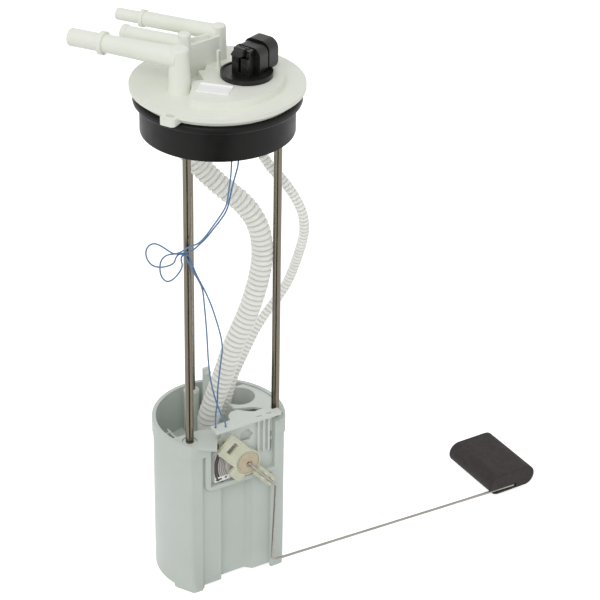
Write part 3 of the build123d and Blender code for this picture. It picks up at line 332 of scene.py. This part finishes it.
hoseKind = {"stiffness": "medium", "slot": "hose_polyethylene", "finish": "hose"}
wireKind = {
    "diameter": 1.25, "pitch": 0, "depth": 0, "cuff": 0, "stiffness": "limp", "slot": "wire_blue",
    "finish": "wire", "sides": 14,
}
cords = {
    "supply_hose": {
        **hoseKind, "length": 0.298, "diameter": 17.0, "pitch": 4.4, "depth": 1.5, "cuff": 12.0, "sides": 40,
        "points": [
            (-8.8, 15.0, -27.5), (-7.8, 14.4, -33.6), (-20.3, 14.7, -41.2), (-8.0, 9.4, -60.0),
            (3.7, 0.8, -74.0), (15.3, -6.3, -84.7), (23.4, -11.1, -96.4), (28.1, -14.9, -109.6),
            (30.3, -15.7, -126.6), (29.3, -15.2, -144.6), (24.8, -13.1, -166.8), (20.1, -10.5, -184.2),
            (14.0, -8.1, -200.2), (8.8, -4.9, -217.1), (4.6, -2.5, -234.7), (-0.4, 0.1, -252.1),
            (-6.4, 1.9, -270.0), (-9.2, 2.9, -282.2), (-8.6, 3.0, -295.8),
        ],
    },
    "return_hose": {
        **hoseKind, "length": 0.308, "diameter": 8.0, "pitch": 3.5, "depth": 0.8, "cuff": 9.0, "sides": 24,
        "points": [
            (24.2, -1.0, -20.5), (33.1, -6.5, -53.4), (54.1, -16.7, -79.6), (66.9, -21.8, -111.5),
            (67.4, -4.0, -155.8), (62.6, 4.0, -181.0), (43.0, 9.5, -207.3), (31.0, 12.5, -233.8),
            (20.4, 14.2, -257.0), (17.0, 14.8, -272.0), (13.5, 15.0, -283.0), (2.0, 16.5, -296.0),
        ],
    },
    "sender_wire_a": {
        **wireKind, "length": 0.349,
        "points": [
            (-6.3, -31.4, -17.0), (-6.2, -31.3, -30.1), (-6.6, -31.8, -39.4), (-7.6, -32.4, -48.7),
            (-9.6, -33.0, -58.5), (-11.6, -33.6, -70.4), (-18.4, -34.3, -78.3), (-24.2, -34.2, -84.5),
            (-29.8, -33.8, -91.4), (-35.9, -33.1, -96.5), (-41.9, -31.8, -97.3), (-45.6, -30.6, -99.5),
            (-49.2, -29.6, -101.7), (-53.9, -28.6, -102.3), (-57.3, -26.1, -99.7), (-61.6, -23.1, -95.7),
            (-66.0, -19.3, -93.9), (-69.7, -16.8, -97.1), (-71.0, -15.8, -102.6), (-69.8, -16.3, -109.0),
            (-66.5, -18.5, -113.8), (-61.1, -20.9, -115.3), (-56.4, -24.1, -113.9), (-52.3, -26.3, -111.2),
            (-51.7, -27.3, -106.1), (-49.6, -28.6, -103.2), (-45.9, -29.9, -104.1), (-42.2, -30.4, -113.0),
            (-37.4, -31.0, -123.5), (-33.6, -31.6, -131.3), (-31.7, -32.1, -137.4), (-30.6, -32.0, -147.7),
            (-29.0, -31.8, -165.9), (-27.7, -31.5, -184.1), (-26.7, -30.9, -202.3), (-24.3, -30.8, -222.8),
            (-20.2, -30.8, -240.4), (-14.7, -31.0, -256.7), (-11.0, -31.0, -264.1), (-11.6, -31.0, -269.5),
        ],
    },
    "sender_wire_b": {
        **wireKind, "length": 0.346,
        "points": [
            (-0.5, -31.5, -17.0), (-0.5, -31.5, -26.7), (-0.4, -31.3, -40.4), (-2.5, -31.3, -46.9),
            (-5.6, -31.4, -56.7), (-8.1, -31.6, -67.2), (-10.4, -31.8, -75.5), (-16.0, -32.0, -82.1),
            (-22.2, -32.1, -87.8), (-27.8, -31.6, -94.1), (-33.7, -31.0, -98.5), (-38.2, -30.3, -102.2),
            (-42.9, -29.0, -103.8), (-47.9, -27.2, -104.2), (-53.2, -25.0, -104.0), (-57.8, -22.4, -105.2),
            (-61.0, -20.8, -109.7), (-61.9, -20.7, -116.0), (-61.1, -21.0, -122.7), (-57.4, -21.9, -128.3),
            (-53.0, -23.4, -127.4), (-48.5, -25.0, -122.5), (-45.4, -26.5, -116.0), (-47.1, -26.7, -110.1),
            (-46.7, -27.4, -106.0), (-43.5, -28.9, -104.9), (-40.8, -29.7, -107.8), (-38.0, -29.8, -118.6),
            (-34.6, -30.4, -127.2), (-31.5, -31.0, -134.4), (-28.6, -31.3, -141.0), (-24.4, -32.2, -152.6),
            (-20.3, -33.0, -167.6), (-17.1, -33.7, -180.9), (-15.2, -33.3, -193.2), (-16.2, -32.1, -204.8),
            (-16.9, -30.4, -219.7), (-17.4, -28.9, -233.0), (-17.2, -28.3, -245.3), (-19.2, -28.3, -255.9),
            (-18.9, -28.3, -269.5),
        ],
    },
}
rings = {"steps": 10, "sharpness": 3, "fade": 2.0, "cuffDrop": 0.6}    # steps along each ring of a hose
plainStep = 1.0    # along a wire
splineSteps = 48
firstSide = (0.3, 0.9, 0.2)    # any direction that no cord starts in


def cordLine(name, points):
    # smooth centre line led by the control points, in metres
    data = bpy.data.curves.new(name + "Line", "CURVE")
    data.dimensions = "3D"
    data.resolution_u = splineSteps
    spline = data.splines.new("NURBS")
    spline.points.add(len(points) - 1)
    for point, (x, y, z) in zip(spline.points, points):
        point.co = (x / 1000, y / 1000, z / 1000, 1)
    spline.order_u = 3
    spline.use_endpoint_u = True
    line = bpy.data.objects.new(name + "Line", data)
    scene.collection.objects.link(line)
    bpy.context.view_layer.update()
    mesh = bpy.data.meshes.new_from_object(line)
    path = np.array([v.co[:] for v in mesh.vertices], float)
    bpy.data.objects.remove(line)
    bpy.data.curves.remove(data)
    bpy.data.meshes.remove(mesh)
    return path


def evenly(path, step):
    # equal steps along the line, and how far along each one is
    steps = np.linalg.norm(np.diff(path, axis=0), axis=1)
    path = path[np.append(True, steps > 1e-9)]
    run = np.append(0, np.cumsum(np.linalg.norm(np.diff(path, axis=0), axis=1)))
    count = max(2, int(round(run[-1] / step)) + 1)
    at = np.linspace(0, run[-1], count)
    return at, np.stack([np.interp(at, run, path[:, i]) for i in range(3)], axis=1)


def tubeMesh(name, path, radii, sides):
    # rings carried along the path without twist, ends closed
    tangents = np.gradient(path, axis=0)
    tangents /= np.linalg.norm(tangents, axis=1)[:, None]
    side = np.cross(tangents[0], firstSide)
    side /= np.linalg.norm(side)
    angles = np.arange(sides) * 2 * math.pi / sides
    circles = []
    for centre, tangent, radius in zip(path, tangents, radii):
        side = side - tangent * (side @ tangent)
        side /= np.linalg.norm(side)
        other = np.cross(tangent, side)
        circles.append(centre + radius * (np.outer(np.cos(angles), side) + np.outer(np.sin(angles), other)))
    count = len(circles)
    vertices = np.concatenate(circles)
    faces = [
        (i * sides + j, i * sides + (j + 1) % sides, (i + 1) * sides + (j + 1) % sides, (i + 1) * sides + j)
        for i in range(count - 1) for j in range(sides)
    ]
    faces += [tuple(range(sides))[::-1], tuple(range((count - 1) * sides, count * sides))]
    mesh = bpy.data.meshes.new(name)
    mesh.from_pydata(vertices.tolist(), [], faces)
    mesh.update()
    mesh.shade_smooth()
    return mesh


def addCord(node, spec):
    line = cordLine(node, spec["points"])
    step = spec["pitch"] / rings["steps"] if spec["pitch"] else plainStep
    run, path = evenly(line, step / 1000)
    radius = spec["diameter"] / 2000
    radii = np.full(len(path), radius)
    shadedGroove = np.zeros(len(path))
    if spec["pitch"]:
        # broad round-topped rings with narrow grooves, between two plain cuffs
        shadedGroove = (0.5 - 0.5 * np.cos(2 * math.pi * run * 1000 / spec["pitch"])) ** rings["sharpness"]
        cuff, fade = spec["cuff"] / 1000, rings["fade"] / 1000
        inside = np.clip(np.minimum(run, run[-1] - run) - cuff, 0, fade) / fade
        shadedGroove *= inside
        radii = radius - spec["depth"] / 1000 * shadedGroove - rings["cuffDrop"] / 1000 * (1 - inside)
    piece = bpy.data.objects.new(node + "Tube", tubeMesh(node + "Tube", path, radii, spec["sides"]))
    scene.collection.objects.link(piece)
    paint(piece, spec["finish"])
    # the ring profile is also stored for the material, which paints shade into the grooves
    depths = piece.data.attributes.new("shadedGroove", "FLOAT", "POINT")
    depths.data.foreach_set("value", np.repeat(shadedGroove, spec["sides"]))
    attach(piece, "flange")
    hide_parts(node)
    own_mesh(piece)
    print(node, "length", round(run[-1], 4))


for nodeName, spec in cords.items():
    addCord(nodeName, spec)


# Helpers for new pieces

def deselectAll():
    if bpy.context.object and bpy.context.object.mode != "OBJECT":
        bpy.ops.object.mode_set(mode="OBJECT")
    bpy.ops.object.select_all(action="DESELECT")


def settle(piece, name):
    # place goes into the mesh, object back to the origin
    deselectAll()
    piece.select_set(True)
    bpy.context.view_layer.objects.active = piece
    bpy.ops.object.transform_apply(location=True, rotation=True, scale=True)
    piece.name = name
    piece.data.name = name


def dress(piece, name, finish, body):
    settle(piece, name)
    paint(piece, finish)
    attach(piece, body)


def addBlock(size, place, turn=0.0):
    # size and place in millimetres, turn in degrees about Z
    deselectAll()
    bpy.ops.mesh.primitive_cube_add(
        size=1, location=[v / 1000 for v in place], rotation=(0, 0, math.radians(turn)),
        scale=[v / 1000 for v in size],
    )
    bpy.ops.object.transform_apply(location=False, rotation=False, scale=True)
    return bpy.context.object


def applyModifier(piece, kind, **settings):
    modifier = piece.modifiers.new(kind.lower(), kind)
    for name, value in settings.items():
        setattr(modifier, name, value)
    bpy.context.view_layer.objects.active = piece
    bpy.ops.object.modifier_apply(modifier=modifier.name)


# Return springs, in millimetres and degrees: coils in place of the sleeves

spring = {
    "radius": 3.45, "wire": 0.7, "wireSides": 8, "turns": 28, "turnSteps": 20, "top": -288.3, "low": -363.3,
    "rodCircle": 45.0, "rodAngles": {"rear": 90, "left": 210, "right": 330},
}


def addSprings():
    height = spring["top"] - spring["low"]
    pitch = (height - spring["wire"]) / spring["turns"]
    for side, angle in spring["rodAngles"].items():
        deselectAll()
        x = spring["rodCircle"] * math.cos(math.radians(angle)) / 1000
        y = spring["rodCircle"] * math.sin(math.radians(angle)) / 1000
        low = (spring["low"] + spring["wire"] / 2) / 1000
        bpy.ops.mesh.primitive_circle_add(
            vertices=spring["wireSides"], radius=spring["wire"] / 2000,
            location=(spring["radius"] / 1000, 0, 0), rotation=(math.radians(90), 0, 0), fill_type="NOTHING",
        )
        coil = bpy.context.object
        bpy.ops.object.transform_apply(location=True, rotation=True, scale=True)
        applyModifier(
            coil, "SCREW", screw_offset=pitch / 1000, iterations=spring["turns"], steps=spring["turnSteps"],
            render_steps=spring["turnSteps"],
        )
        bpy.ops.object.mode_set(mode="EDIT")
        bpy.ops.mesh.select_all(action="DESELECT")
        bpy.ops.mesh.select_non_manifold()
        bpy.ops.mesh.edge_face_add()
        bpy.ops.mesh.select_all(action="SELECT")
        bpy.ops.mesh.normals_make_consistent(inside=False)
        bpy.ops.object.mode_set(mode="OBJECT")
        bpy.ops.object.shade_smooth()
        coil.location = (x, y, low)
        dress(coil, "springCoil_" + side, "spring", "flange")
        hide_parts("return_spring_" + side)
        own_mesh(coil)
    print("springs wound")


addSprings()


# Sender card, in millimetres and degrees: ink and silver arcs about the pivot, a column of ticks, and a
# thin slotted clip over a dark sheet of painted shade that shows through its slots
# a block's size is along X, Y and Z, its place is X and Z on the card's face

senderCard = {
    "pivot": (6.1, -304.0), "thick": 0.12, "start": 157.0, "sweep": 62.0, "bandSteps": 24,
    "bands": (    # radius, width, finish
        (25.1, 1.8, "track"), (23.0, 0.9, "conductor"), (21.4, 0.9, "conductor"), (19.8, 0.9, "conductor"),
        (18.2, 0.9, "conductor"),
    ),
    "tick": (0.5, 0.9), "tickPlace": (-21.2, -292.0), "tickStep": 1.75, "ticks": 9, "tickBevel": 0.03,
    "clip": (14.0, 0.16, 4.6), "clipPlace": (-14.2, -315.4), "clipBevel": 0.04,
    "slots": (((-3.2, 0.0), (5.6, 1.5)), ((3.2, 0.4), (2.0, 1.8))),    # place from the clip's middle, size
    "slotShadow": (13.0, 0.06, 3.6), "slotShadowBevel": 0.02,
}


def cardFace():
    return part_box("resistor_card")[0][1] * 1000


def addBand(number, radius, width, finish):
    # flat strip swept about the pivot, on the card's face
    pivotX, pivotZ = senderCard["pivot"]
    middle = (cardFace() - senderCard["thick"] / 2) / 1000
    start = math.radians(senderCard["start"])
    deselectAll()
    startX = (pivotX + radius * math.cos(start)) / 1000
    startZ = (pivotZ + radius * math.sin(start)) / 1000
    bpy.ops.mesh.primitive_plane_add(size=1, rotation=(0, -start, 0), location=(startX, middle, startZ))
    band = bpy.context.object
    band.scale = (width / 1000, senderCard["thick"] / 1000, 1)
    bpy.ops.object.transform_apply(location=True, rotation=True, scale=True)
    bpy.ops.object.mode_set(mode="EDIT")
    bpy.ops.mesh.select_all(action="SELECT")
    bpy.ops.mesh.spin(
        steps=senderCard["bandSteps"], angle=math.radians(senderCard["sweep"]),
        center=(pivotX / 1000, middle, pivotZ / 1000), axis=(0, 1, 0),
    )
    bpy.ops.mesh.select_all(action="SELECT")
    bpy.ops.mesh.normals_make_consistent(inside=False)
    bpy.ops.object.mode_set(mode="OBJECT")
    dress(band, "cardBand_" + str(number), finish, "reservoir")


def addTicks():
    face = cardFace()
    x, z = senderCard["tickPlace"]
    wide, tall = senderCard["tick"]
    ticks = addBlock((wide, senderCard["thick"], tall), (x, face - senderCard["thick"] / 2, z))
    applyModifier(ticks, "BEVEL", width=senderCard["tickBevel"] / 1000, segments=1)
    applyModifier(
        ticks, "ARRAY", count=senderCard["ticks"], use_relative_offset=False, use_constant_offset=True,
        constant_offset_displace=(0, 0, -senderCard["tickStep"] / 1000),
    )
    dress(ticks, "cardTicks", "track", "reservoir")


def addClip():
    face = cardFace()
    wide, deep, tall = senderCard["clip"]
    x, z = senderCard["clipPlace"]
    clip = addBlock((wide, deep, tall), (x, face - deep / 2, z))
    for (slotX, slotZ), (slotWide, slotTall) in senderCard["slots"]:
        cutter = addBlock((slotWide, 4 * deep, slotTall), (x + slotX, face - deep / 2, z + slotZ))
        applyModifier(clip, "BOOLEAN", operation="DIFFERENCE", solver="EXACT", object=cutter)
        bpy.data.objects.remove(cutter)
    applyModifier(clip, "BEVEL", width=senderCard["clipBevel"] / 1000, segments=2, limit_method="ANGLE")
    dress(clip, "cardClip", "label", "reservoir")
    # under the clip lies a dark sheet of painted shade, standing for the shadow seen through its slots
    wide, deep, tall = senderCard["slotShadow"]
    slotShadow = addBlock((wide, deep, tall), (x, face - deep / 2, z))
    applyModifier(slotShadow, "BEVEL", width=senderCard["slotShadowBevel"] / 1000, segments=1)
    dress(slotShadow, "cardClipShade", "track", "reservoir")


for number, (radius, width, finish) in enumerate(senderCard["bands"]):
    addBand(number, radius, width, finish)
addTicks()
addClip()
print("card dressed")


# Bare sticker on the cover, in millimetres and degrees
# known fault: the bevel is wider than the film is thick and folds over, so the piece comes out 2.3 thick
# and inside out

sticker = {"size": (25.0, 14.0, 0.1), "place": (-15.8, -22.8), "turn": -46.0, "bevel": 1.2, "steps": 4}


def addSticker():
    wide, tall, thick = sticker["size"]
    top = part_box("electrical_connector")[0][2] * 1000
    film = addBlock((wide, tall, thick), (*sticker["place"], top + thick / 2), sticker["turn"])
    deselectAll()
    film.select_set(True)
    bpy.ops.object.mode_set(mode="EDIT")
    bpy.ops.mesh.select_all(action="SELECT")
    bpy.ops.mesh.bevel(offset=sticker["bevel"] / 1000, segments=sticker["steps"], affect="EDGES")
    bpy.ops.object.mode_set(mode="OBJECT")
    dress(film, "coverSticker", "label", "flange")
    print("sticker laid")


addSticker()


# Studio, in metres: pale floor, soft light, and a dark wedge that only reflections show

studio = {
    "world": 0.70, "background": 1.0,
    "floor": -0.418, "floorSize": 30, "floorDrop": 0.0002, "paper": (0.7, 0.7, 0.7, 1), "paperGlow": 0.8,
    "lamps": (    # name, place, size, power in watts
        ("keyLight", (-1.6, -1.2, 1.6), 1.6, 18.0),
        ("fillLight", (1.8, -1.4, 0.6), 2.0, 2.6),
    ),
    "aim": (0.05, 0, -0.15),
    "wedgeRadius": 1, "wedgeWidth": 0.55, "wedgeDrop": 0.0001,
    "velvet": (1, 0.94, 0.85, 1), "velvetGlow": 0.1,
}
white = (1, 1, 1, 1)


def whiteToEye(tree, light, visible):
    # the eye, glossy and clear surfaces see the plain white, everything else the level light
    rays = addNode(tree, "ShaderNodeLightPath")
    seen = rays.outputs["Is Camera Ray"]
    for other in ("Is Glossy Ray", "Is Transmission Ray"):
        seen = addNode(
            tree, "ShaderNodeMath", {"operation": "MAXIMUM"}, i0=seen, i1=rays.outputs[other],
        ).outputs[0]
    return addNode(tree, "ShaderNodeMixShader", None, i0=seen, i1=light, i2=visible).outputs[0]


def addWorld():
    world = bpy.data.worlds.new("studio")
    scene.world = world
    world.use_nodes = True
    tree = world.node_tree
    tree.nodes.clear()
    lit = addNode(tree, "ShaderNodeBackground", {"Color": white, "Strength": studio["world"]})
    eye = addNode(tree, "ShaderNodeBackground", {"Color": white, "Strength": studio["background"]})
    addNode(tree, "ShaderNodeOutputWorld", None, Surface=whiteToEye(tree, lit.outputs[0], eye.outputs[0]))


def addFloor():
    # the glow lifts the lit paper to white and leaves the shadow
    deselectAll()
    height = studio["floor"] - studio["floorDrop"]
    bpy.ops.mesh.primitive_plane_add(size=studio["floorSize"], location=(0, 0, height))
    floor = bpy.context.object
    settle(floor, "studioFloor")
    material, tree = emptyMaterial("matt paper")
    paper = addNode(tree, "ShaderNodeBsdfDiffuse", {"Color": studio["paper"]})
    glow = addNode(tree, "ShaderNodeEmission", {"Color": white, "Strength": studio["paperGlow"]})
    both = addNode(tree, "ShaderNodeAddShader", None, i0=paper.outputs[0], i1=glow.outputs[0])
    mixed = whiteToEye(tree, paper.outputs[0], both.outputs[0])
    addNode(tree, "ShaderNodeOutputMaterial", None, Surface=mixed)
    floor.data.materials.append(material)


def addLamps():
    for name, place, size, power in studio["lamps"]:
        data = bpy.data.lights.new(name, "AREA")
        data.shape = "SQUARE"
        data.size = size
        data.energy = power
        lamp = bpy.data.objects.new(name, data)
        scene.collection.objects.link(lamp)
        turn = (Vector(studio["aim"]) - Vector(place)).to_track_quat("-Z", "Y").to_matrix()
        lamp.matrix_world = Matrix.Translation(Vector(place)) @ turn.to_4x4()


def addWedge():
    # lies on the floor before the object, for the rods, the rubber and other shiny faces to reflect
    deselectAll()
    bpy.ops.mesh.primitive_circle_add(vertices=3, radius=studio["wedgeRadius"], fill_type="NGON")
    wedge = bpy.context.object
    wedge.location = (0, -studio["wedgeRadius"], 0)
    bpy.ops.object.transform_apply(location=True, rotation=False, scale=False)
    wedge.scale = (studio["wedgeWidth"], 1, 1)
    frontX, frontY = camera["place"][:2]
    wedge.rotation_euler = (0, 0, -math.atan2(-frontX, -frontY))
    wedge.location = (0, 0, studio["floor"] - studio["wedgeDrop"])
    settle(wedge, "darkWedge")
    material, tree = emptyMaterial("black velvet")
    velvet = addNode(
        tree, "ShaderNodeEmission", {"Color": studio["velvet"], "Strength": studio["velvetGlow"]},
    )
    addNode(tree, "ShaderNodeOutputMaterial", None, Surface=velvet.outputs[0])
    wedge.data.materials.append(material)
    wedge.visible_camera = wedge.visible_diffuse = wedge.visible_shadow = wedge.visible_transmission = False


addWorld()
addFloor()
addLamps()
addWedge()
scene.view_settings.view_transform = "Standard"
print("studio lit")
